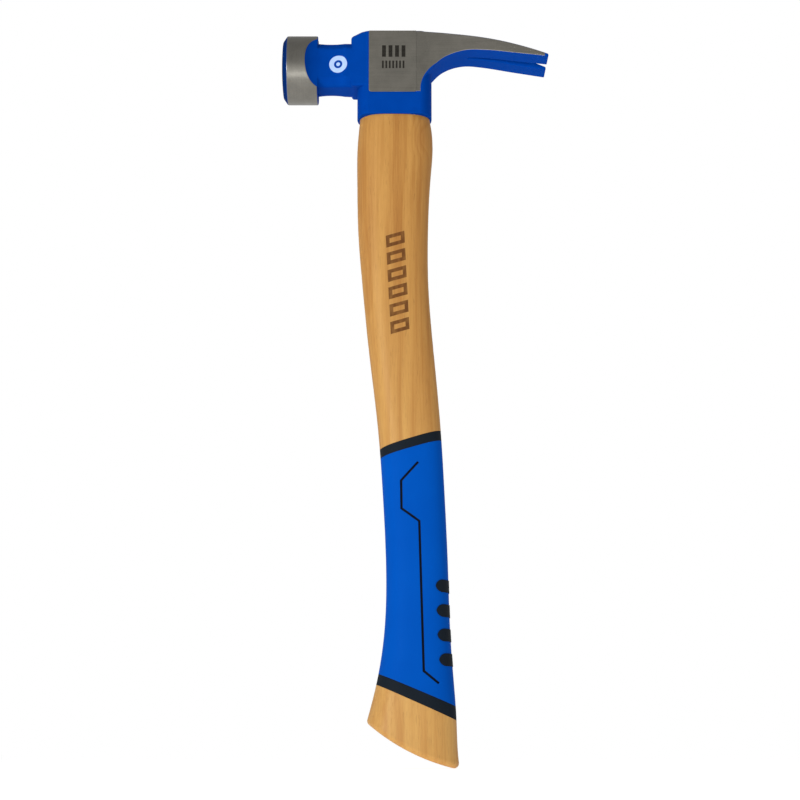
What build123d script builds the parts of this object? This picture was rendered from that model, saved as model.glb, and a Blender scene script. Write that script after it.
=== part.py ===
from build123d import *
import os

# Claw hammer: a forged steel head, wedged on a curved hickory handle that has a two-colour
# moulded grip. Frame, in millimetres: the origin is the centre of the grip, +Z runs up the handle
# to the head, the hammer strikes towards -X, the claw points to +X, and the shape is mirrored
# about Y = 0.

# Where the head sits over the grip
eye_x = -12.2  # axis of the eye, through the middle of the head
strike_z = 282.0  # axis of the round poll

# Poll: the round striking end, as distances from the eye axis
face_x = -62.8
shoulder_x = -42.9
poll_radius = 19.05
face_radius = 15.8
bevel_length = 2.3
crown_height = 0.9

# Neck: an eight-sided bar between the poll and the cheek
neck_half_width = 11.5
neck_half_height = 12.8
neck_flat_half_height = 9.2
neck_crest_half_width = 6.0
scallop_length = 6.6
scallop_half_width = 13.0

# Cheek and socket round the eye, heights from the poll axis
cheek_front_x = -24.0
cheek_top_z = 18.6
cheek_foot_z = -13.6
cheek_half_width = 13.4
land_height = 0.6  # how far the ground cheek panel stands out
land_front_x = -14.2
land_back_x = 12.2
land_foot_z = -17.0
rim_z = -29.3
socket_half_length = 20.7
socket_flat_half_length = 14.0
rim_chamfer = 0.8

# Eye: an hourglass oval hole, half length by half width at the rim, the waist and the top
eye_rim = (15.8, 10.0)
eye_waist = (15.2, 9.5)
eye_top = (16.6, 10.8)
waist_z = -8.0

# Claw: a rip claw that splits into two flared tines
tip_x = 85.0
tip_half_width = 17.2
slot_root_x = 41.0
slot_root_half_width = 0.9
slot_tip_half_width = 4.0

# Nail starter: a slot through the top of the poll, and a magnet in the neck below it
starter_width = 4.6
magnet_x = -36.0
magnet_radius = 3.2
magnet_depth = 3.2

# Wedges that spread the tenon in the eye
kerf_depth = 32.0
kerf_top_width = 4.2
kerf_foot_width = 0.9
steel_wedge_offset = 8.5
steel_wedge_length = 13.0
steel_wedge_depth = 17.0
steel_wedge_top = 2.6
steel_wedge_foot = 0.8

# Handle sections from the head down to the butt: height, front X, back X and full thickness
handle_sections = [
    (strike_z + rim_z, -31.4, 7.2, 25.0),
    (245.0, -32.1, 8.5, 25.8),
    (234.0, -32.8, 8.9, 26.0),
    (218.0, -32.8, 7.7, 25.2),
    (190.0, -32.2, 6.3, 23.2),
    (160.0, -29.9, 6.3, 21.6),
    (120.0, -25.9, 9.2, 21.0),
    (80.0, -21.2, 12.7, 22.4),
    (40.0, -18.2, 15.0, 24.4),
    (0.0, -16.5, 16.6, 25.6),
    (-30.0, -17.4, 17.5, 26.0),
    (-56.0, -21.2, 19.2, 27.4),
    (-76.0, -26.2, 20.5, 29.0),
    (-106.0, -32.0, 22.8, 30.0),
]
section_fullness = 0.755  # 0.707 is an ellipse, 1 is a rectangle
butt_fillet = 2.6

# Grip: a black sleeve moulded in a recess of the wood, and a blue cover moulded over it
recess_depth = 2.6
cover_thickness = 1.3
pad_height = 0.3
pad_heights = [-6.9, -19.9, -32.7, -45.6]
pad_half_height = 3.3
pad_reach = 7.1
pad_point = 3.4
groove_width = 1.25

# Work planes of the head: seen from the side, from above, and from the striking face
head_side = Plane(origin=(eye_x, 0, strike_z), x_dir=(1, 0, 0), z_dir=(0, -1, 0))
head_plan = Plane(origin=(eye_x, 0, strike_z))
handle_side = Plane(origin=(0, 0, 0), x_dir=(1, 0, 0), z_dir=(0, -1, 0))
beyond = 30.0  # half reach of a cutter that passes right through


def oval(half_length, half_width):
    """A closed flat-sided oval through eight points."""
    corner_x = half_length * section_fullness
    corner_y = half_width * section_fullness
    return Spline(
        (half_length, 0),
        (corner_x, corner_y),
        (0, half_width),
        (-corner_x, corner_y),
        (-half_length, 0),
        (-corner_x, -corner_y),
        (0, -half_width),
        (corner_x, -corner_y),
        periodic=True,
    )


def handle_form(inset):
    """The whole length of the handle's outer surface, moved inwards by inset."""
    with BuildPart() as form:
        for height, front, back, thickness in handle_sections:
            middle = (front + back) / 2
            with BuildSketch(Plane(origin=(middle, 0, height))):
                with BuildLine():
                    oval((back - front) / 2 - inset, thickness / 2 - inset)
                make_face()
        loft()
    return form.part


def back_edge(height):
    """X of the handle's back edge at a height in the grip."""
    above = [s for s in handle_sections if s[0] >= height][-1]
    below = [s for s in handle_sections if s[0] < height][0]
    share = (height - below[0]) / (above[0] - below[0])
    return below[2] + share * (above[2] - below[2])


# The eye's hollow, which the tenon fills
with BuildPart() as eye:
    with BuildSketch(head_plan.offset(rim_z)):
        Ellipse(*eye_rim)
    with BuildSketch(head_plan.offset(waist_z)):
        Ellipse(*eye_waist)
    with BuildSketch(head_plan.offset(cheek_top_z)):
        Ellipse(*eye_top)
    loft(ruled=True)

# Cutter for the kerf along the eye, wider at the top
with BuildPart() as kerf:
    with BuildSketch(Plane(origin=(eye_x, 0, strike_z + cheek_top_z), x_dir=(0, 1, 0), z_dir=(1, 0, 0))):
        with BuildLine():
            Polyline(
                (-kerf_top_width / 2, 0),
                (kerf_top_width / 2, 0),
                (kerf_foot_width / 2, -kerf_depth),
                (-kerf_foot_width / 2, -kerf_depth),
                close=True,
            )
        make_face()
    extrude(amount=beyond, both=True)
    add(eye.part, mode=Mode.INTERSECT)

# Two flat steel wedges, driven across the wooden one
steel_wedges = []
for side in (-1, 1):
    with BuildPart() as steel_wedge:
        wedge_x = eye_x + side * steel_wedge_offset
        wedge_plane = Plane(origin=(wedge_x, 0, strike_z + cheek_top_z), x_dir=(1, 0, 0), z_dir=(0, -1, 0))
        with BuildSketch(wedge_plane):
            with BuildLine():
                Polyline(
                    (-steel_wedge_top / 2, 0),
                    (steel_wedge_top / 2, 0),
                    (steel_wedge_foot / 2, -steel_wedge_depth),
                    (-steel_wedge_foot / 2, -steel_wedge_depth),
                    close=True,
                )
            make_face()
        extrude(amount=steel_wedge_length / 2, both=True)
    steel_wedges.append(steel_wedge)

with BuildPart() as eye_wedge:
    add(kerf.part)
    for steel_wedge in steel_wedges:
        add(steel_wedge.part, mode=Mode.SUBTRACT)

# Nail-starter magnet, a disc pressed into the neck's top
with BuildPart() as nail_magnet:
    with BuildSketch(head_plan.offset(neck_half_height - magnet_depth)):
        with Locations((magnet_x, 0)):
            Circle(magnet_radius)
    extrude(amount=magnet_depth)

# Claw: the side outline, kept within the plan outline of its two flared tines
with BuildPart() as claw:
    with BuildSketch(head_side):
        with BuildLine():
            top = Spline(
                (land_back_x - 2, cheek_top_z),
                (32.0, 17.1),
                (50.0, 14.5),
                (68.0, 9.8),
                (tip_x, 3.9),
                tangents=((1, -0.02), (1, -0.38)),
            )
            tine_end = Line(top @ 1, (tip_x - 0.3, 2.9))
            under = Spline(
                tine_end @ 1,
                (68.0, 4.9),
                (50.0, 7.1),
                (38.0, 7.1),
                (27.0, 3.2),
                (20.4, -3.2),
                (16.0, -10.5),
                tangents=((-1, 0.06), (-0.35, -1)),
            )
            Polyline(under @ 1, (land_back_x - 2, -10.5), top @ 0)
        make_face()
    extrude(amount=beyond, both=True)
    with BuildSketch(head_plan):
        with BuildLine():
            side = Spline(
                (land_back_x - 2, cheek_half_width + land_height),
                (22.0, 12.6),
                (34.0, 12.7),
                (58.0, 15.3),
                (tip_x, tip_half_width),
                tangents=((1, -0.2), (1, 0.03)),
            )
            Polyline(
                side @ 1,
                (tip_x, slot_tip_half_width),
                (slot_root_x, slot_root_half_width),
                (slot_root_x, 0),
                (land_back_x - 2, 0),
                side @ 0,
            )
        make_face()
        mirror(about=Plane.XZ)
    extrude(amount=beyond, both=True, mode=Mode.INTERSECT)

# Head, forged in one piece with the poll, neck, cheek, socket and claw
with BuildPart() as hammer_head:
    # Poll, turned: a crowned face, a bevel and a straight side
    with BuildSketch(head_side):
        with BuildLine():
            ThreePointArc(
                (face_x, 0),
                (face_x + crown_height / 4, face_radius / 2),
                (face_x + crown_height, face_radius),
            )
            Line((face_x + crown_height, face_radius), (face_x + crown_height + bevel_length, poll_radius))
            Line((face_x + crown_height + bevel_length, poll_radius), (shoulder_x, poll_radius))
            Line((shoulder_x, poll_radius), (shoulder_x, 0))
            Line((shoulder_x, 0), (face_x, 0))
        make_face()
    revolve(axis=Axis((eye_x, 0, strike_z), (1, 0, 0)))

    # Scallops on both sides, where the neck runs out into the poll
    with BuildSketch(head_plan):
        with BuildLine():
            scallop = ThreePointArc(
                (shoulder_x, scallop_half_width),
                (shoulder_x - scallop_length * 0.55, scallop_half_width + 2.5),
                (shoulder_x - scallop_length, poll_radius + 0.05),
            )
            Line(scallop @ 1, (shoulder_x, poll_radius + 0.05))
            Line((shoulder_x, poll_radius + 0.05), scallop @ 0)
        make_face()
        mirror(about=Plane.XZ)
    extrude(amount=beyond, both=True, mode=Mode.SUBTRACT)

    # Neck
    with BuildSketch(Plane(head_side.origin, x_dir=(0, 1, 0), z_dir=(1, 0, 0)).offset(shoulder_x)):
        with BuildLine():
            Polyline(
                (neck_half_width, neck_flat_half_height),
                (neck_crest_half_width, neck_half_height),
                (-neck_crest_half_width, neck_half_height),
                (-neck_half_width, neck_flat_half_height),
                (-neck_half_width, -neck_flat_half_height),
                (-neck_crest_half_width, -neck_half_height),
                (neck_crest_half_width, -neck_half_height),
                (neck_half_width, -neck_flat_half_height),
                close=True,
            )
        make_face()
    extrude(amount=cheek_front_x - shoulder_x)

    # Socket: a tall oval block round the eye
    with BuildSketch(head_plan.offset(rim_z)) as socket_plan:
        Rectangle(2 * socket_flat_half_length, 2 * cheek_half_width)
        with Locations((-socket_flat_half_length, 0), (socket_flat_half_length, 0)):
            Ellipse(socket_half_length - socket_flat_half_length, cheek_half_width)
    extrude(amount=cheek_top_z - rim_z)
    chamfer(hammer_head.faces().sort_by(Axis.Z)[0].outer_wire().edges(), rim_chamfer)

    # Cheek front: the block that the neck grows from, bevelled at its top corner
    with BuildSketch(head_side):
        with BuildLine():
            Polyline(
                (cheek_front_x, cheek_foot_z),
                (cheek_front_x, 16.2),
                (cheek_front_x + 7, cheek_top_z),
                (land_front_x + 5, cheek_top_z),
                (land_front_x + 5, cheek_foot_z),
                close=True,
            )
        make_face()
    extrude(amount=neck_half_width, both=True)

    # Ground panel on each cheek
    with BuildSketch(head_side):
        with BuildLine():
            Polyline(
                (land_front_x, cheek_top_z),
                (land_front_x, land_foot_z + 1.2),
                (land_front_x + 1.2, land_foot_z),
                (land_back_x - 1.2, land_foot_z),
                (land_back_x, land_foot_z + 1.2),
                (land_back_x, cheek_top_z),
                close=True,
            )
        make_face()
    extrude(amount=cheek_half_width + land_height, both=True)

    # Claw
    add(claw.part)

    # Eye, nail-starter slot and the magnet's pocket
    add(eye.part, mode=Mode.SUBTRACT)
    with BuildSketch(head_plan.offset(neck_half_height)):
        with Locations(((face_x + shoulder_x) / 2, 0)):
            Rectangle(shoulder_x - face_x + 2, starter_width)
    extrude(amount=poll_radius, mode=Mode.SUBTRACT)
    add(nail_magnet.part, mode=Mode.SUBTRACT)

# The handle's outer surface, and the same surface at the depth of each grip layer
outer_form = handle_form(0)
sleeve_form = handle_form(cover_thickness)
recess_form = handle_form(recess_depth)
pad_form = handle_form(-pad_height)

# How far the grip, and its blue cover, reach up and down the handle
with BuildPart() as grip_zone:
    with BuildSketch(handle_side):
        with BuildLine():
            Polyline((-40, 60.9), (40, 85.5), (40, -85.5), (-40, -50.3), close=True)
        make_face()
    extrude(amount=beyond, both=True)

with BuildPart() as cover_zone:
    with BuildSketch(handle_side):
        with BuildLine():
            Polyline((-40, 56.2), (40, 79.6), (40, -77.9), (-40, -44.7), close=True)
        make_face()
    extrude(amount=beyond, both=True)

# Space round the wood that the moulded grip fills
with BuildPart() as recess:
    add(outer_form)
    add(grip_zone.part, mode=Mode.INTERSECT)
    add(recess_form, mode=Mode.SUBTRACT)

# Layer of that space that the blue cover takes
with BuildPart() as cover_layer:
    add(outer_form)
    add(cover_zone.part, mode=Mode.INTERSECT)
    add(sleeve_form, mode=Mode.SUBTRACT)

# Handle, shaped from one piece of hickory
with BuildPart() as handle:
    add(outer_form)
    with BuildSketch(handle_side):
        with BuildLine():
            butt = ThreePointArc((-34.0, -71.2), (-4.5, -93.0), (30.0, -103.8))
            Polyline(butt @ 1, (30.0, -120.0), (-34.0, -120.0), butt @ 0)
        make_face()
    extrude(amount=beyond, both=True, mode=Mode.SUBTRACT)
    fillet(handle.edges().group_by(Axis.Z)[0], butt_fillet)
    add(recess.part, mode=Mode.SUBTRACT)
    add(eye.part)
    add(kerf.part, mode=Mode.SUBTRACT)
    for steel_wedge in steel_wedges:
        add(steel_wedge.part, mode=Mode.SUBTRACT)

# Palm pads: pointed bars that run round the back edge of the grip
with BuildPart() as pads:
    for height in pad_heights:
        point_x = back_edge(height) - pad_reach
        with BuildSketch(handle_side):
            with BuildLine():
                upper = ThreePointArc(
                    (point_x, height),
                    (point_x + pad_point * 0.4, height + pad_half_height * 0.72),
                    (point_x + pad_point, height + pad_half_height),
                )
                lower = ThreePointArc(
                    (point_x, height),
                    (point_x + pad_point * 0.4, height - pad_half_height * 0.72),
                    (point_x + pad_point, height - pad_half_height),
                )
                Polyline(
                    upper @ 1,
                    (point_x + 20, height + pad_half_height),
                    (point_x + 20, height - pad_half_height),
                    lower @ 1,
                )
            make_face()
        extrude(amount=beyond, both=True)

with BuildPart() as raised_pads:
    add(pad_form)
    add(pads.part, mode=Mode.INTERSECT)
    add(recess_form, mode=Mode.SUBTRACT)

# Black sleeve, with its two end bands and its pads showing past the blue cover
with BuildPart() as grip_core:
    add(recess.part)
    add(cover_layer.part, mode=Mode.SUBTRACT)
    add(raised_pads.part)

# Line groove in both sides of the cover, down to the black sleeve
with BuildPart() as groove:
    with BuildSketch(handle_side):
        with BuildLine():
            Polyline((0.6, 59.0), (-8.5, 49.0), (-8.3, 34.0), (1.1, 27.2), (3.3, -51.6), (11.2, -58.0))
        trace(line_width=groove_width)
    extrude(amount=beyond, both=True)

# Blue cover
with BuildPart() as grip_cover:
    add(cover_layer.part)
    add(pads.part, mode=Mode.SUBTRACT)
    add(groove.part, mode=Mode.SUBTRACT)

pieces = {
    "hammer_head": hammer_head.part,
    "nail_magnet": nail_magnet.part,
    "handle": handle.part,
    "eye_wedge": eye_wedge.part,
    "steel_wedge_front": steel_wedges[0].part,
    "steel_wedge_back": steel_wedges[1].part,
    "grip_core": grip_core.part,
    "grip_cover": grip_cover.part,
}
os.makedirs("parts", exist_ok=True)
for name, piece in pieces.items():
    piece.label = name
    export_step(piece, f"parts/{name}.step")
    print(f"{name:18} {piece.volume / 1000:8.2f} cm3")
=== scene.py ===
import bpy
import bmesh
import math
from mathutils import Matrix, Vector


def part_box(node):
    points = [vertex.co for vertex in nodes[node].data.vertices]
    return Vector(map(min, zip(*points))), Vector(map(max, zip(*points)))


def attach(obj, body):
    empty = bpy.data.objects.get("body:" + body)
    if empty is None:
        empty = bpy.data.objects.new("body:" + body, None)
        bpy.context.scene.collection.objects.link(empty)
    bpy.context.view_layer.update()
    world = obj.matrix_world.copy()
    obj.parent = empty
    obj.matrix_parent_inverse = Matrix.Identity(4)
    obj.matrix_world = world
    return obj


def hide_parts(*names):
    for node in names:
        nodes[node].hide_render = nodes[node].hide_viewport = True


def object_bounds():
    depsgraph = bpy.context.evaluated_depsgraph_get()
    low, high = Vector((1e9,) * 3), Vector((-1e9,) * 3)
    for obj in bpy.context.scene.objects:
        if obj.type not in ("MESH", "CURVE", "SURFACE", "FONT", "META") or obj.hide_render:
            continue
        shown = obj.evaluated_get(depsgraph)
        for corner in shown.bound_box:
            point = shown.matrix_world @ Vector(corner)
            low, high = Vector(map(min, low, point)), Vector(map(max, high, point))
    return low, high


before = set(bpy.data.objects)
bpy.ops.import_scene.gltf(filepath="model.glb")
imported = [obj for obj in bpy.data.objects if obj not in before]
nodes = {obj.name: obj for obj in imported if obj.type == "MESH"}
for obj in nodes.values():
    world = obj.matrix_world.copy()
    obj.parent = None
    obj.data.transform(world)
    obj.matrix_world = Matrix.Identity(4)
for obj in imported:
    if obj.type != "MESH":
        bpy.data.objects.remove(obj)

cad_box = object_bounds()
bpy.ops.object.select_all(action="DESELECT")


# ---------------------------------------------------------------------------------------------
# Handle. One piece of straight-grained hickory, sawn and sanded to a curve, with a tenon
# through the head and a recess that holds the grip. It is finished in clear satin lacquer, and
# a row of hollow slanted boxes is burnt into each side below the head.
# ---------------------------------------------------------------------------------------------
class Wire:
    """A node's output: arithmetic on it adds Math nodes, and node() adds any other node."""

    def __init__(self, tree, socket=None):
        self.tree = tree
        self.socket = socket

    def node(self, kind, settings, inputs, output=0):
        made = self.tree.nodes.new("ShaderNode" + kind)
        for name, value in settings.items():
            setattr(made, name, value)
        for name, value in inputs.items():
            if isinstance(value, Wire):
                self.tree.links.new(value.socket, made.inputs[name])
            else:
                made.inputs[name].default_value = value
        return Wire(self.tree, made.outputs[output])

    def math(self, operation, *values):
        return self.node("Math", {"operation": operation}, dict(enumerate(values)))

    def __add__(self, other):
        return self.math("ADD", self, other)

    def __sub__(self, other):
        return self.math("SUBTRACT", self, other)

    def __rsub__(self, other):
        return self.math("SUBTRACT", other, self)

    def __mul__(self, other):
        return self.math("MULTIPLY", self, other)

    def __truediv__(self, other):
        return self.math("DIVIDE", self, other)

    def __abs__(self):
        return self.math("ABSOLUTE", self)

    def __and__(self, other):
        return self.math("MINIMUM", self, other)

    def __or__(self, other):
        return self.math("MAXIMUM", self, other)

    __radd__ = __add__

    def fraction(self):
        """What is left after the whole number."""
        return self.math("FRACT", self)

    def beside(self, other):
        """The distance that this and the other make as the two sides of a right angle."""
        return (self * self + other * other).root()

    def root(self):
        return self.math("SQRT", self)

    def rise(self, low, high):
        """0 below low, 1 above high, and smooth between them."""
        sockets = {"Value": self, "From Min": low, "From Max": high}
        return self.node("MapRange", {"interpolation_type": "SMOOTHSTEP"}, sockets)

    def inside(self, low, high, edge):
        """1 between low and high, falling to 0 over the width edge."""
        return self.rise(low - edge, low) & (1 - self.rise(high, high + edge))

    def noise(self, size, detail=2.0, rough=0.5):
        """Noise of about this size, for a place in millimetres; size may be one per axis."""
        sizes = size if isinstance(size, tuple) else (size, size, size)
        scaled = self.node("VectorMath", {"operation": "DIVIDE"}, {0: self, 1: sizes})
        sockets = {"Vector": scaled, "Scale": 1.0, "Detail": detail, "Roughness": rough}
        return self.node("TexNoise", {}, sockets)


def linear(red, green, blue):
    """The linear colour of a screen colour given from 0 to 255."""
    parts = [part / 255 for part in (red, green, blue)]
    light = [p / 12.92 if p < 0.04045 else ((p + 0.055) / 1.055) ** 2.4 for p in parts]
    return (*light, 1.0)


def start_material(name, sockets):
    """A new material, its shader with sockets set, and the surface's place in millimetres."""
    material = bpy.data.materials.new(name)
    material.use_nodes = True
    shader = material.node_tree.nodes["Principled BSDF"]
    for socket, value in sockets.items():
        shader.inputs[socket].default_value = value
    tree = Wire(material.node_tree)
    metres = tree.node("TexCoord", {}, {}, "Object")
    place = tree.node("VectorMath", {"operation": "SCALE"}, {0: metres, "Scale": 1000.0})
    return material, shader, place


def split(place):
    """The three parts of a place or of a direction."""
    axes = place.node("SeparateXYZ", {}, {0: place})
    outputs = axes.socket.node.outputs
    return tuple(Wire(place.tree, outputs[i]) for i in range(3))


def blend(factor, first, second):
    """Colour first where factor is 0, and second where it is 1."""
    return factor.node("Mix", {"data_type": "RGBA"}, {0: factor, 6: first, 7: second}, 2)


def connect(shader, socket, wire):
    wire.tree.links.new(wire.socket, shader.inputs[socket])


def raise_surface(shader, height, depth, edge=0.0):
    """Bumps of this real depth in metres, on edges that look rounded to the radius edge."""
    sockets = {"Height": height, "Distance": depth, "Strength": 1.0}
    if edge > 0.0:
        sockets["Normal"] = height.node("Bevel", {"samples": 6}, {"Radius": edge})
    connect(shader, "Normal", height.node("Bump", {}, sockets))


def paint(piece, material):
    """Gives a CAD node or a new piece its material."""
    piece.data.materials.clear()
    piece.data.materials.append(material)


wood_sockets = {"Coat Weight": 0.06, "Coat Roughness": 0.3, "Specular IOR Level": 0.16}
hickory, wood, place = start_material("hickory", wood_sockets)
x, y, z = split(place)

# Growth rings: shells round a pith far outside the blank, pushed aside by a small knot at the top
knot_x = 2.5
knot_z = 240.0
knot = ((x - knot_x) / 4.5).beside((z - knot_z) / 8.0)
pith_x = -96.0
pith_y = -61.0
ring_width = 5.2
sway = place.noise((60.0, 60.0, 190.0), 2.0) * 16.0 + (1 - knot.rise(0.0, 1.9)) * 7.0
ring = (x - pith_x + sway).beside(y - pith_y + sway * 0.4) / ring_width
ring_phase = ring.fraction()
late = ring_phase.rise(0.3, 0.9) & (1 - ring_phase.rise(0.92, 1.0))
pushed = place.node("CombineXYZ", {}, {0: x + sway * 0.3, 1: y, 2: z})
band = pushed.noise((6.0, 7.0, 260.0), 1.5)
streak = place.noise((1.3, 1.3, 95.0), 3.0, 0.6)
fibre = place.noise((0.28, 0.28, 11.0), 2.0, 0.6)
pores = place.noise((0.34, 0.34, 6.5), 1.0).rise(0.62, 0.72) * (1 - late * 0.7)

tone = late * 0.14 + (band - 0.5) * 1.15 + (streak - 0.5) * 0.8 + 0.42
# Painted light and shade: the wood is coloured lighter towards the butt and darker up towards the
# head, for how the light falls along the handle
butt_z = -70.0
shoulder_z = 235.0
painted_light_low_down = 1 - z.rise(butt_z, shoulder_z)
fair = blend(painted_light_low_down, linear(190, 141, 74), linear(204, 158, 89))
brown = blend(painted_light_low_down, linear(161, 108, 50), linear(183, 131, 69))
colour = blend(tone.rise(0.0, 1.0), fair, brown)
dark_threads = (fibre - 0.42).rise(0.0, 0.5) * 0.2 + pores * 0.24
colour = blend(dark_threads, colour, linear(118, 74, 34))
colour = blend((1 - knot.rise(0.2, 1.3)) * 0.22, colour, linear(150, 94, 48))

# Burnt marks: hollow slanted boxes, in a row that follows the handle's lean
mark_count = 6
mark_pitch = 9.6
row_top = 186.0
half_width = 5.0
stroke = 2.0
row_x = -11.9
box_start = 0.12
box_end = 0.78
blur = 0.25
row = (row_top - z) / mark_pitch
lean = x - row_x - row * 0.5
slanted_row = row + lean * 0.03
cell = slanted_row.fraction()
hollow = cell.inside(box_start + stroke / mark_pitch, box_end - stroke / mark_pitch, 0.03)
hollow = hollow & (1 - abs(lean).rise(half_width - stroke, half_width - stroke + blur))
marks = cell.inside(box_start, box_end, 0.03) & slanted_row.inside(0.0, mark_count, 0.02)
marks = marks & (1 - abs(lean).rise(half_width, half_width + blur)) & (1 - hollow)
soot = place.noise((2.2, 2.2, 5.0), 2.0, 0.5)
burnt = marks * (0.76 + soot.rise(0.25, 0.7) * 0.24)
colour = blend(burnt * 0.9, colour, linear(84, 44, 12))
connect(wood, "Base Color", colour)
connect(wood, "Roughness", 0.4 + fibre * 0.14 + burnt * 0.25)
raise_surface(wood, fibre * 0.3 - pores * 0.5 - burnt * 1.2, 0.0001, edge=0.0005)
paint(nodes["handle"], hickory)


# ---------------------------------------------------------------------------------------------
# Head. Forged in one piece of steel: a round poll, a waisted neck, a cheek over an oval socket,
# and a rip claw. It is enamelled blue all over, then ground bare on the poll's side and face, on
# a raised panel of each cheek and on the claw's sides. The marks on the panels are etched.
# ---------------------------------------------------------------------------------------------
eye_x = -0.0122
strike_z = 0.282
poll_radius = 0.01905
shoulder_x = eye_x - 0.0429
face_x = eye_x - 0.0628
cheek_top = strike_z + 0.0186
rim = strike_z - 0.0293


def settle(name):
    """Names the newest object and puts its turn, size and place into its mesh."""
    piece = bpy.context.object
    piece.name = name
    piece.data.name = name
    bpy.ops.object.transform_apply(location=True, rotation=True, scale=True)
    return piece


def pick(piece, mode, test):
    """Goes into edit mode with only the faces or edges selected whose middle passes the test."""
    bpy.ops.object.mode_set(mode="EDIT")
    bpy.ops.mesh.select_all(action="DESELECT")
    bpy.ops.mesh.select_mode(type=mode)
    mesh = bmesh.from_edit_mesh(piece.data)
    for part in mesh.faces if mode == "FACE" else mesh.edges:
        corners = [v.co for v in part.verts]
        middle = sum(corners, Vector()) / len(corners)
        direction = part.normal if mode == "FACE" else (corners[1] - corners[0]).normalized()
        if test(middle, direction):
            part.select_set(True)
    bmesh.update_edit_mesh(piece.data)


def finish_with(piece, kind, **settings):
    """Adds a modifier to the piece and applies it."""
    bpy.ops.object.mode_set(mode="OBJECT")
    bpy.ops.object.select_all(action="DESELECT")
    bpy.context.view_layer.objects.active = piece
    piece.select_set(True)
    modifier = piece.modifiers.new(kind.lower(), kind)
    for name, value in settings.items():
        setattr(modifier, name, value)
    bpy.ops.object.modifier_apply(modifier=modifier.name)


def combine(piece, operation, other):
    """Joins the other to the piece, or cuts it from the piece, and removes the other."""
    finish_with(piece, "BOOLEAN", operation=operation, object=other, solver="EXACT")
    bpy.data.objects.remove(other)


def curve_through(points, x):
    """Height at x of a smooth curve through points, each (x, height)."""
    i = max(k for k in range(len(points) - 1) if points[k][0] <= x or k == 0)
    (x1, y1), (x2, y2) = points[i], points[i + 1]
    x0, y0 = points[max(i - 1, 0)]
    x3, y3 = points[min(i + 2, len(points) - 1)]
    span = x2 - x1
    slope1 = (y2 - y0) / (x2 - x0)
    slope2 = (y3 - y1) / (x3 - x1)
    t = (x - x1) / span
    start = y1 * (1 + 2 * t) * (1 - t) ** 2 + slope1 * span * t * (1 - t) ** 2
    end = y2 * t * t * (3 - 2 * t) - slope2 * span * t * t * (1 - t)
    return start + end


def soften(piece, width, segments, degrees):
    """Rounds every edge of the piece that turns by more than the angle."""
    limit = math.radians(degrees)
    settings = {"width": width, "segments": segments, "angle_limit": limit}
    finish_with(piece, "BEVEL", limit_method="ANGLE", **settings)


def draw_out(name, corner, stations):
    """A bar along X through stations, each (x, half width, underside, top), with cut corners."""
    x, width, under, top = stations[0]
    turn = (0.0, math.radians(90.0), 0.0)
    bpy.ops.mesh.primitive_plane_add(size=1.0, location=(x, 0.0, (under + top) / 2), rotation=turn)
    bar = settle(name)
    pick(bar, "FACE", lambda middle, direction: True)
    bpy.ops.transform.resize(value=(1.0, 2 * width, top - under))
    if corner > 0.0:
        bpy.ops.mesh.select_mode(type="VERT")
        bpy.ops.mesh.bevel(offset=corner, affect="VERTICES")
        bpy.ops.mesh.select_mode(type="FACE")
    for next_x, next_width, next_under, next_top in stations[1:]:
        move = (next_x - x, 0.0, (next_under + next_top - under - top) / 2)
        bpy.ops.mesh.extrude_region_move(TRANSFORM_OT_translate={"value": move})
        taller = (next_top - next_under) / (top - under)
        bpy.ops.transform.resize(value=(1.0, next_width / width, taller))
        x, width, under, top = next_x, next_width, next_under, next_top
    bpy.ops.mesh.select_all(action="SELECT")
    bpy.ops.mesh.normals_make_consistent(inside=False)
    bpy.ops.object.mode_set(mode="OBJECT")
    return bar


# Poll: a straight cylinder, then a bevel and a crowned face drawn out of its front
bevel_length = 0.0023
crown_rings = 6
crown_height = 0.0009
face_radius = 0.0158
poll_back = shoulder_x + 0.0002
poll_front = face_x + crown_height + bevel_length
bpy.ops.mesh.primitive_cylinder_add(
    vertices=128,
    radius=poll_radius,
    depth=poll_back - poll_front,
    location=((poll_back + poll_front) / 2, 0.0, strike_z),
    rotation=(0.0, math.radians(90.0), 0.0),
)
head = settle("head")
pick(head, "FACE", lambda middle, direction: direction.x < -0.9)
bpy.ops.mesh.extrude_region_move(TRANSFORM_OT_translate={"value": (-bevel_length, 0.0, 0.0)})
bpy.ops.transform.resize(value=(1.0, face_radius / poll_radius, face_radius / poll_radius))
for ring in range(crown_rings):
    outer = 1.0 - ring / crown_rings
    inner = 1.0 - (ring + 0.95) / crown_rings
    bpy.ops.mesh.inset(thickness=face_radius * (outer - inner))
    bpy.ops.transform.translate(value=(-crown_height * (outer**2 - inner**2), 0.0, 0.0))
soften(head, 0.0005, 3, 25)

# Round hollows on both sides of the poll, where the waist of the neck runs into it
waist_radius = 0.0168
waist_half_width = 0.0111
waist_x = eye_x - 0.0352
for side in (-1, 1):
    bpy.ops.mesh.primitive_cylinder_add(
        vertices=200,
        radius=waist_radius,
        depth=0.06,
        location=(waist_x, side * (waist_half_width + waist_radius), strike_z),
    )
    combine(head, "DIFFERENCE", settle("waist"))

# Neck: an eight-sided bar with the same waist, arched a little underneath
neck_top = strike_z + 0.0128
neck_start = shoulder_x - 0.001
neck_length = 0.0249 + 0.001
neck_steps = 24
waist_reach = 0.0099
neck_half_width = 0.01305
neck_taper = 0.03
neck_stations = []
for step in range(neck_steps + 1):
    x = neck_start + step * neck_length / neck_steps
    reach = min(abs(x - waist_x), waist_reach)
    waisted = waist_half_width + waist_radius - math.sqrt(waist_radius**2 - reach**2)
    tapered = neck_half_width - neck_taper * max(x - waist_x, 0.0)
    under = strike_z - 0.0122 - 3.0 * (x - waist_x) ** 2
    neck_stations.append((x, min(waisted, tapered) - 0.00005, under, neck_top))
neck = draw_out("neck", 0.0040, neck_stations)
soften(neck, 0.0010, 3, 30)
combine(head, "UNION", neck)

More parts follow.
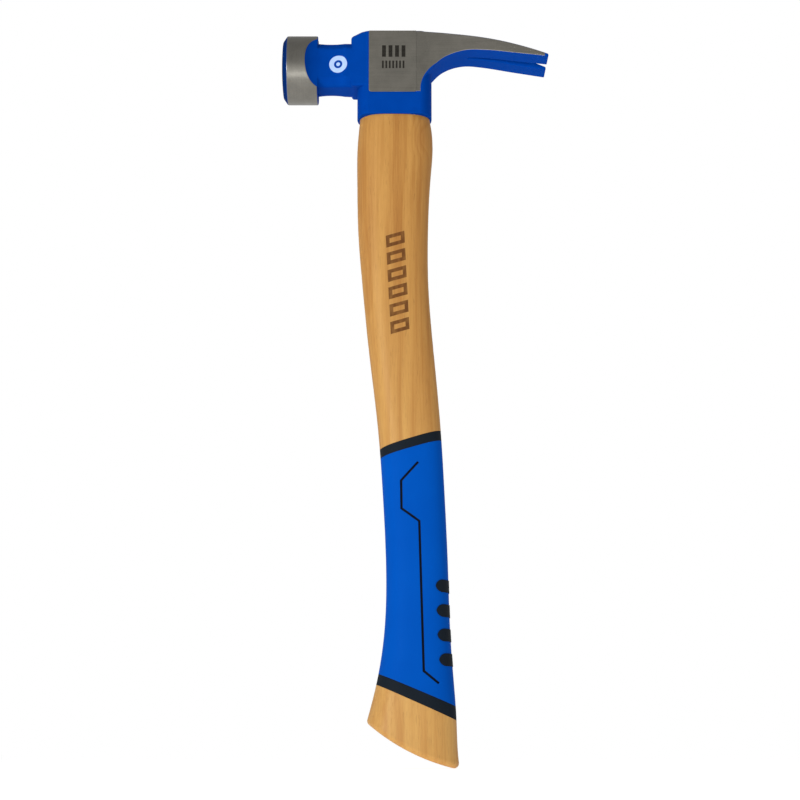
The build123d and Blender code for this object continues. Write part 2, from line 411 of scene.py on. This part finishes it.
# Nail starter: a slot through the top of the poll, and a pocket for the magnet in the neck
nail_slot_width = 0.0046
nail_slot_floor = strike_z + 0.0129
bpy.ops.mesh.primitive_cube_add(
    size=1.0,
    location=((face_x + shoulder_x) / 2, 0.0, nail_slot_floor + poll_radius / 2),
    scale=(shoulder_x - face_x + 0.002, nail_slot_width, poll_radius),
)
nail_slot = settle("nail_slot")
slot_middle = nail_slot_floor + poll_radius / 2
pick(nail_slot, "EDGE", lambda middle, run: abs(run.x) > 0.9 and middle.z < slot_middle)
bpy.ops.mesh.bevel(offset=0.0012, segments=4)
combine(head, "DIFFERENCE", nail_slot)

magnet_low, magnet_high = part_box("nail_magnet")
pocket_gap = 0.00015
pocket_depth = 0.006
bpy.ops.mesh.primitive_cylinder_add(
    vertices=64,
    radius=(magnet_high.x - magnet_low.x) / 2 + pocket_gap,
    depth=pocket_depth,
    location=((magnet_low.x + magnet_high.x) / 2, 0.0, magnet_low.z + pocket_depth / 2),
)
combine(head, "DIFFERENCE", settle("pocket"))


def trim_corner(piece, depth):
    """Cuts off the front top corner of the cheek, this much deeper than the finished slope."""
    pick(piece, "FACE", lambda middle, direction: True)
    place = (eye_x - 0.0176, 0.0, cheek_top - depth)
    slope = (-0.5, 0.0, 1.0)
    bpy.ops.mesh.bisect(plane_co=place, plane_no=slope, use_fill=True, clear_outer=True)
    bpy.ops.object.mode_set(mode="OBJECT")


# Socket: a tall oval block round the eye, with soft edges at its rim and its top
socket_length = 0.0207
socket_flat = 0.014
cheek_width = 0.0134
bpy.ops.mesh.primitive_cylinder_add(
    vertices=128,
    radius=cheek_width,
    depth=cheek_top - rim,
    location=(eye_x, 0.0, (cheek_top + rim) / 2),
)
socket = settle("socket")
stretch = (socket_length - socket_flat) / cheek_width
for end in (-1, 1):
    pick(socket, "FACE", lambda middle, out: (middle.x - eye_x) * end > 0 and abs(out.z) < 0.9)
    bpy.ops.transform.translate(value=(end * socket_flat, 0.0, 0.0))
    centre = (eye_x + end * socket_flat, 0.0, 0.0)
    bpy.ops.transform.resize(value=(stretch, 1.0, 1.0), center_override=centre)
trim_corner(socket, 0.0)
soften(socket, 0.0009, 3, 60)

# Cheek front: the block that the neck grows from, rounded at its front and top edges
block_front = eye_x - 0.024
block_back = eye_x - 0.010
block_foot = strike_z - 0.0128
block_drop = 0.00008
block_top = cheek_top - block_drop
block_width = 0.0264
bpy.ops.mesh.primitive_cube_add(
    size=1.0,
    location=((block_front + block_back) / 2, 0.0, (block_foot + block_top) / 2),
    scale=(block_back - block_front, block_width, block_top - block_foot),
)
block = settle("block")
pick(block, "FACE", lambda middle, direction: direction.x < -0.9)
bpy.ops.transform.resize(value=(1.0, 0.95, 1.0))
trim_corner(block, block_drop)
soften(block, 0.0012, 4, 20)

# Ground panels: the two faces of one slab, chamfered all round
panel_foot = strike_z - 0.0170
panel_top = cheek_top - 0.00004
panel_front = eye_x - 0.0142
panel_back = eye_x + 0.0122
panel_width = 0.028
bpy.ops.mesh.primitive_cube_add(
    size=1.0,
    location=((panel_front + panel_back) / 2, 0.0, (panel_foot + panel_top) / 2),
    scale=(panel_back - panel_front, panel_width, panel_top - panel_foot),
)
slab = settle("slab")
pick(slab, "EDGE", lambda middle, run: abs(run.y) > 0.9 and middle.z < panel_foot + 0.001)
bpy.ops.mesh.bevel(offset=0.0014, segments=4)
soften(slab, 0.00035, 2, 40)

# Claw: drawn out from the cheek in steps, each with its own height and width, then split by a V
claw_root = eye_x + 0.0108
claw_tip = eye_x + 0.085
claw_steps = 40
top_slope = 0.02
top_curve = 2.62
under_points = [
    (0.0141, -0.0168), (0.0152, -0.0110), (0.0202, -0.0036), (0.027, 0.0030),
    (0.038, 0.0070), (0.050, 0.0069), (0.068, 0.0045), (0.085, 0.0022),
]
width_points = [
    (0.0108, 0.01396), (0.0150, 0.0133), (0.0180, 0.0128), (0.022, 0.0126),
    (0.034, 0.0127), (0.058, 0.0152), (0.085, 0.0172),
]
claw_stations = []
for step in range(claw_steps + 1):
    x = claw_root + (step / claw_steps) ** 1.25 * (claw_tip - claw_root)
    run = x - eye_x - 0.014
    top = cheek_top - 0.00012 - top_slope * run - top_curve * max(run, 0.0) ** 2
    under = strike_z + curve_through(under_points, max(x - eye_x, under_points[0][0]))
    claw_stations.append((x, curve_through(width_points, x - eye_x), under, top))
claw = draw_out("claw", 0.0, claw_stations)
slot_root = eye_x + 0.041
slot_end = claw_tip + 0.004
slot_mouth = 0.0080
bpy.ops.mesh.primitive_cube_add(
    size=1.0,
    location=((slot_root + slot_end) / 2, 0.0, strike_z),
    scale=(slot_end - slot_root, slot_mouth, 0.05),
)
slot = settle("slot")
pick(slot, "FACE", lambda middle, direction: direction.x < -0.9)
bpy.ops.transform.resize(value=(1.0, 0.2, 1.0))
combine(claw, "DIFFERENCE", slot)
soften(claw, 0.00055, 3, 38)

# The cheek, the panels and the claw are made one, and the eye is cut before the poll is joined on
for addition in (block, slab, claw):
    combine(socket, "UNION", addition)

eye_levels = [
    (rim - 0.001, 0.0158, 0.0100),
    (strike_z - 0.008, 0.0152, 0.0095),
    (cheek_top - 0.0006, 0.01655, 0.01076),
    (cheek_top + 0.001, 0.0178, 0.0120),
]
level, length, width = eye_levels[0]
foot = (eye_x, 0.0, level)
bpy.ops.mesh.primitive_circle_add(vertices=96, radius=length, fill_type="NGON", location=foot)
eye = settle("eye")
pick(eye, "FACE", lambda middle, direction: True)
bpy.ops.transform.resize(value=(1.0, width / length, 1.0))
for next_level, next_length, next_width in eye_levels[1:]:
    move = (0.0, 0.0, next_level - level)
    bpy.ops.mesh.extrude_region_move(TRANSFORM_OT_translate={"value": move})
    bpy.ops.transform.resize(value=(next_length / length, next_width / width, 1.0))
    level, length, width = next_level, next_length, next_width
bpy.ops.mesh.select_all(action="SELECT")
bpy.ops.mesh.normals_make_consistent(inside=False)
bpy.ops.object.mode_set(mode="OBJECT")
combine(socket, "DIFFERENCE", eye)
combine(head, "UNION", socket)

bpy.ops.object.mode_set(mode="EDIT")
bpy.ops.mesh.select_all(action="SELECT")
bpy.ops.mesh.remove_doubles(threshold=0.00001)
bpy.ops.object.mode_set(mode="OBJECT")
bpy.ops.object.shade_smooth_by_angle(angle=math.radians(32))
finish_with(head, "WEIGHTED_NORMAL", keep_sharp=True, weight=80)
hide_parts("hammer_head")
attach(head, "root")

# The forging's one material: bare steel where it is ground, and blue enamel everywhere else
steel_sockets = {"Specular IOR Level": 0.002}
head_finish, metal, place = start_material("ground_and_painted_steel", steel_sockets)
x, y, z = split(place)
across_normal = split(place.node("TexCoord", {}, {}, "Normal"))[1]
height = z - strike_z * 1000.0
radius = height.beside(y)
side = abs(y)

# Where the grinding reaches, in millimetres
poll_side_start = -71.6
poll_side_end = -55.2
on_poll = x.inside(poll_side_start, poll_side_end, 0.15) & radius.rise(18.86, 18.94)
face_edge = 15.4
on_face = (1 - x.rise(-73.9, -73.7)) & (1 - radius.rise(face_edge, face_edge + 0.2))
neck_x = -30.0
on_panel = side.rise(13.5, 13.56) & x.rise(neck_x, neck_x + 1.0) & (1 - x.rise(-0.1, 0.1))
claw_flank = abs(across_normal).rise(0.72, 0.86) & side.rise(9.0, 9.5)
claw_foot = -16.7
wander = (place.noise(2.4, 2.0) - 0.5) * 0.5
above_foot = (height + wander).rise(claw_foot, claw_foot + 0.3)
sweep = ((x - 27.6) / 25.5).beside((height + 15.0) / 20.0)  # the oval that the paint follows
on_claw = claw_flank & x.inside(-0.6, 70.6, 0.3) & above_foot & sweep.rise(0.99, 1.01)
bare = on_poll | on_face | on_panel | on_claw

grind_round = place.noise((0.2, 26.0, 26.0), 3.0, 0.65)
grind_flat = place.noise((22.0, 30.0, 0.2), 3.0, 0.65)
grind = grind_flat + (grind_round - grind_flat) * on_poll
cloud = place.noise(7.0, 3.0)
grit = place.noise(0.7, 2.0)
dull = blend(on_poll, linear(89, 87, 81), linear(82, 81, 76))
bright = blend(on_poll, linear(155, 151, 141), linear(146, 143, 135))
steel = blend(grind * 0.4 + cloud * 0.35 + grit * 0.25, dull, bright)
worn = place.noise((14.0, 14.0, 3.0), 4.0, 0.7).rise(0.6, 0.78)
steel = blend(worn * 0.25, steel, linear(50, 48, 45))
enamel = blend(cloud, linear(1, 56, 142), linear(2, 64, 156))
# Painted shade: the enamel on the bevel round the face is painted dark navy, for the shade that
# falls on it
painted_shade_on_bevel = (1 - x.rise(-71.9, -71.7)) & radius.rise(face_edge, face_edge + 0.2)
enamel = blend(painted_shade_on_bevel * 0.75, enamel, linear(6, 26, 62))

# Etched marks on the ground panels: a bold row over a fine row
rows_start = -19.2
bold_pitch = 3.6
fine_pitch = 1.9
bold = ((x - rows_start) / bold_pitch).fraction().inside(0.06, 0.62, 0.03)
bold = bold & x.inside(rows_start - 0.1, -5.6, 0.1) & z.inside(285.2, 291.8, 0.12)
fine = ((x - rows_start) / fine_pitch).fraction().inside(0.1, 0.55, 0.05)
fine = fine & x.inside(rows_start - 0.1, -6.3, 0.1) & z.inside(278.6, 282.9, 0.12)
etched = (bold | fine) & on_panel
steel = blend(etched * (0.6 + grit * 0.5), steel, linear(28, 26, 22))

# Printed mark on each side of the neck: a plain pale ring and dot
mark_x = -43.4
from_mark = (x - mark_x).beside(height + 0.3)
ring_and_dot = from_mark.inside(2.4, 4.9, 0.12) | (1 - from_mark.rise(1.0, 1.15))
printed = ring_and_dot & side.rise(10.4, 10.7) & (1 - side.rise(13.4, 13.6))
enamel = blend(printed * 0.95, enamel, linear(176, 200, 240))

connect(metal, "Base Color", blend(bare, enamel, steel))
connect(metal, "Metallic", bare * 0.85)
smoother = bare * (0.14 - grind * 0.12) - on_face * 0.14
connect(metal, "Roughness", 0.42 - smoother)
skin = place.noise(1.8, 2.0)
ground = (grind * 0.35 + grit * 0.25) * bare
relief = skin * (1 - bare) * 0.5 + ground - etched * 0.9 + printed * 0.2
raise_surface(metal, relief, 0.00008)
paint(head, head_finish)


# ---------------------------------------------------------------------------------------------
# Nail magnet. A small disc of nickel-plated magnet, pressed into the top of the neck so that a
# nail laid in the poll's slot stays there for its first blow.
# ---------------------------------------------------------------------------------------------
nickel_sockets = {"Metallic": 1.0, "Specular IOR Level": 0.5}
nickel, plating, place = start_material("nickel_plating", nickel_sockets)
scratches = place.noise((0.15, 3.0, 3.0), 3.0, 0.7)
tarnish = place.noise(2.0, 3.0)
connect(plating, "Base Color", blend(tarnish, linear(150, 148, 142), linear(205, 202, 194)))
connect(plating, "Roughness", 0.24 + scratches * 0.2)
raise_surface(plating, scratches, 0.00002, edge=0.0004)
paint(nodes["nail_magnet"], nickel)


# ---------------------------------------------------------------------------------------------
# Wedges. A hardwood wedge driven into the tenon's kerf spreads it along the eye, and two stamped
# steel wedges driven across it spread it sideways. They are cut off flush and left bare.
# ---------------------------------------------------------------------------------------------
wedge_wood, end_grain, place = start_material("wedge_wood", {"Specular IOR Level": 0.3})
fine_grain = place.noise((0.5, 0.35, 14.0), 3.0, 0.6)
dots = place.noise(0.45, 1.0).rise(0.6, 0.7)
wedge_brown = blend(fine_grain, linear(150, 98, 52), linear(196, 144, 88))
connect(end_grain, "Base Color", blend(dots * 0.4, wedge_brown, linear(92, 58, 30)))
connect(end_grain, "Roughness", 0.62 + fine_grain * 0.2)
raise_surface(end_grain, fine_grain * 0.6 - dots * 0.6, 0.00008, edge=0.0002)
paint(nodes["eye_wedge"], wedge_wood)

wedge_steel, stamped, place = start_material("wedge_steel", {"Specular IOR Level": 0.5})
hammered = place.noise(0.9, 3.0, 0.6)
rust = place.noise(2.2, 4.0, 0.65).rise(0.62, 0.76)
stamped_grey = blend(hammered, linear(92, 92, 92), linear(158, 157, 152))
connect(stamped, "Base Color", blend(rust * 0.5, stamped_grey, linear(112, 70, 44)))
connect(stamped, "Metallic", 0.9 - rust * 0.6)
connect(stamped, "Roughness", 0.36 + hammered * 0.16 + rust * 0.25)
raise_surface(stamped, hammered, 0.00012, edge=0.0002)
paint(nodes["steel_wedge_front"], wedge_steel)
paint(nodes["steel_wedge_back"], wedge_steel)


# ---------------------------------------------------------------------------------------------
# Grip sleeve. Black rubber, moulded round the wood in its recess. It shows as a band at each end
# of the grip, as four palm pads at the back edge and at the bottom of the cover's line groove.
# ---------------------------------------------------------------------------------------------
black_rubber, rubber, place = start_material("black_rubber", {"Specular IOR Level": 0.05})
x, y, z = split(place)
stipple = place.noise(0.45, 2.0, 0.6)
bloom = place.noise(12.0, 3.0)
seam = 1 - abs(y).rise(0.12, 0.28)
rubber_black = blend(bloom, linear(12, 19, 26), linear(22, 30, 38))
connect(rubber, "Base Color", blend(stipple * 0.3, rubber_black, linear(40, 46, 54)))
connect(rubber, "Roughness", 0.52 + bloom * 0.14)
raise_surface(rubber, stipple * 0.5 + seam * 0.6, 0.00008, edge=0.0004)
paint(nodes["grip_core"], black_rubber)


# ---------------------------------------------------------------------------------------------
# Grip cover. Blue plastic, moulded over the sleeve with windows for the pads and a line groove in
# both sides. Its mould leaves a fine even texture and a parting line along its two edges.
# ---------------------------------------------------------------------------------------------
blue_cover, cover, place = start_material("blue_cover", {"Specular IOR Level": 0.01})
x, y, z = split(place)
stipple = place.noise(0.5, 2.0, 0.6)
bloom = place.noise(26.0, 2.0)
seam = 1 - abs(y).rise(0.1, 0.24)
handled = place.noise((9.0, 9.0, 20.0), 3.0, 0.6).rise(0.5, 0.75)
cover_blue = blend(bloom, linear(1, 72, 166), linear(2, 80, 176))
paler = stipple * 0.12 + handled * 0.06
connect(cover, "Base Color", blend(paler, cover_blue, linear(4, 90, 186)))
connect(cover, "Roughness", 0.5 + stipple * 0.08 - handled * 0.1)
raise_surface(cover, stipple * 0.5 + seam * 0.7, 0.00006, edge=0.0004)
paint(nodes["grip_cover"], blue_cover)


# ---------------------------------------------------------------------------------------------
# Studio. A white room: an even white sky that the camera sees as pure white, a wide soft light
# from the front left, and a large pale floor under the butt.
# ---------------------------------------------------------------------------------------------
world = bpy.data.worlds.new("studio")
bpy.context.scene.world = world
world.use_nodes = True
white = (1.0, 1.0, 1.0, 1.0)
sky = Wire(world.node_tree)
seen = sky.node("LightPath", {}, {}, "Is Camera Ray")
background = world.node_tree.nodes["Background"]
background.inputs["Color"].default_value = white
room_light = 0.45
connect(background, "Strength", seen * (1.0 - room_light) + room_light)

glow = 0.58
bpy.ops.mesh.primitive_plane_add(size=60.0, location=(0.0, 0.0, cad_box[0].z))
floor = bpy.context.object
floor.name = "floor"
floor_sockets = {"Roughness": 0.9, "Specular IOR Level": 0.1}
floor_sockets.update({"Emission Color": white, "Emission Strength": glow})
floor_paint, pale_floor, place = start_material("pale_floor", floor_sockets)
cast = place.noise(900.0, 2.0)
connect(pale_floor, "Base Color", blend(cast, (0.93, 0.93, 0.93, 1.0), (0.95, 0.95, 0.95, 1.0)))
floor.data.materials.append(floor_paint)

bpy.ops.object.light_add(type="AREA", location=(-1.1, -1.45, 0.06))
key = bpy.context.object
key.name = "key_light"
key.data.shape = "RECTANGLE"
key.data.size = 0.5
key.data.size_y = 0.3
key.data.energy = 15.0
key.rotation_euler = (math.radians(88), 0.0, math.radians(-37))

# A low strip of light in front, which gives the round poll its bright band
bpy.ops.object.light_add(type="AREA", location=(-0.10, -0.58, -0.06))
strip = bpy.context.object
strip.name = "strip_light"
strip.data.shape = "RECTANGLE"
strip.data.size = 0.24
strip.data.size_y = 0.06
strip.data.energy = 0.45
strip.rotation_euler = (math.radians(118), 0.0, 0.0)
strip.visible_camera = False

# The camera stands just over a metre away, below the middle of the handle, and looks a little up
look_up = (math.radians(100.5), 0.0, 0.0)
bpy.ops.object.camera_add(location=(-0.00913, -1.030, -0.0963), rotation=look_up)
camera = bpy.context.object
camera.data.sensor_width = 36.0
camera.data.lens = 86.92
bpy.context.scene.camera = camera
bpy.context.scene.view_settings.view_transform = "Standard"
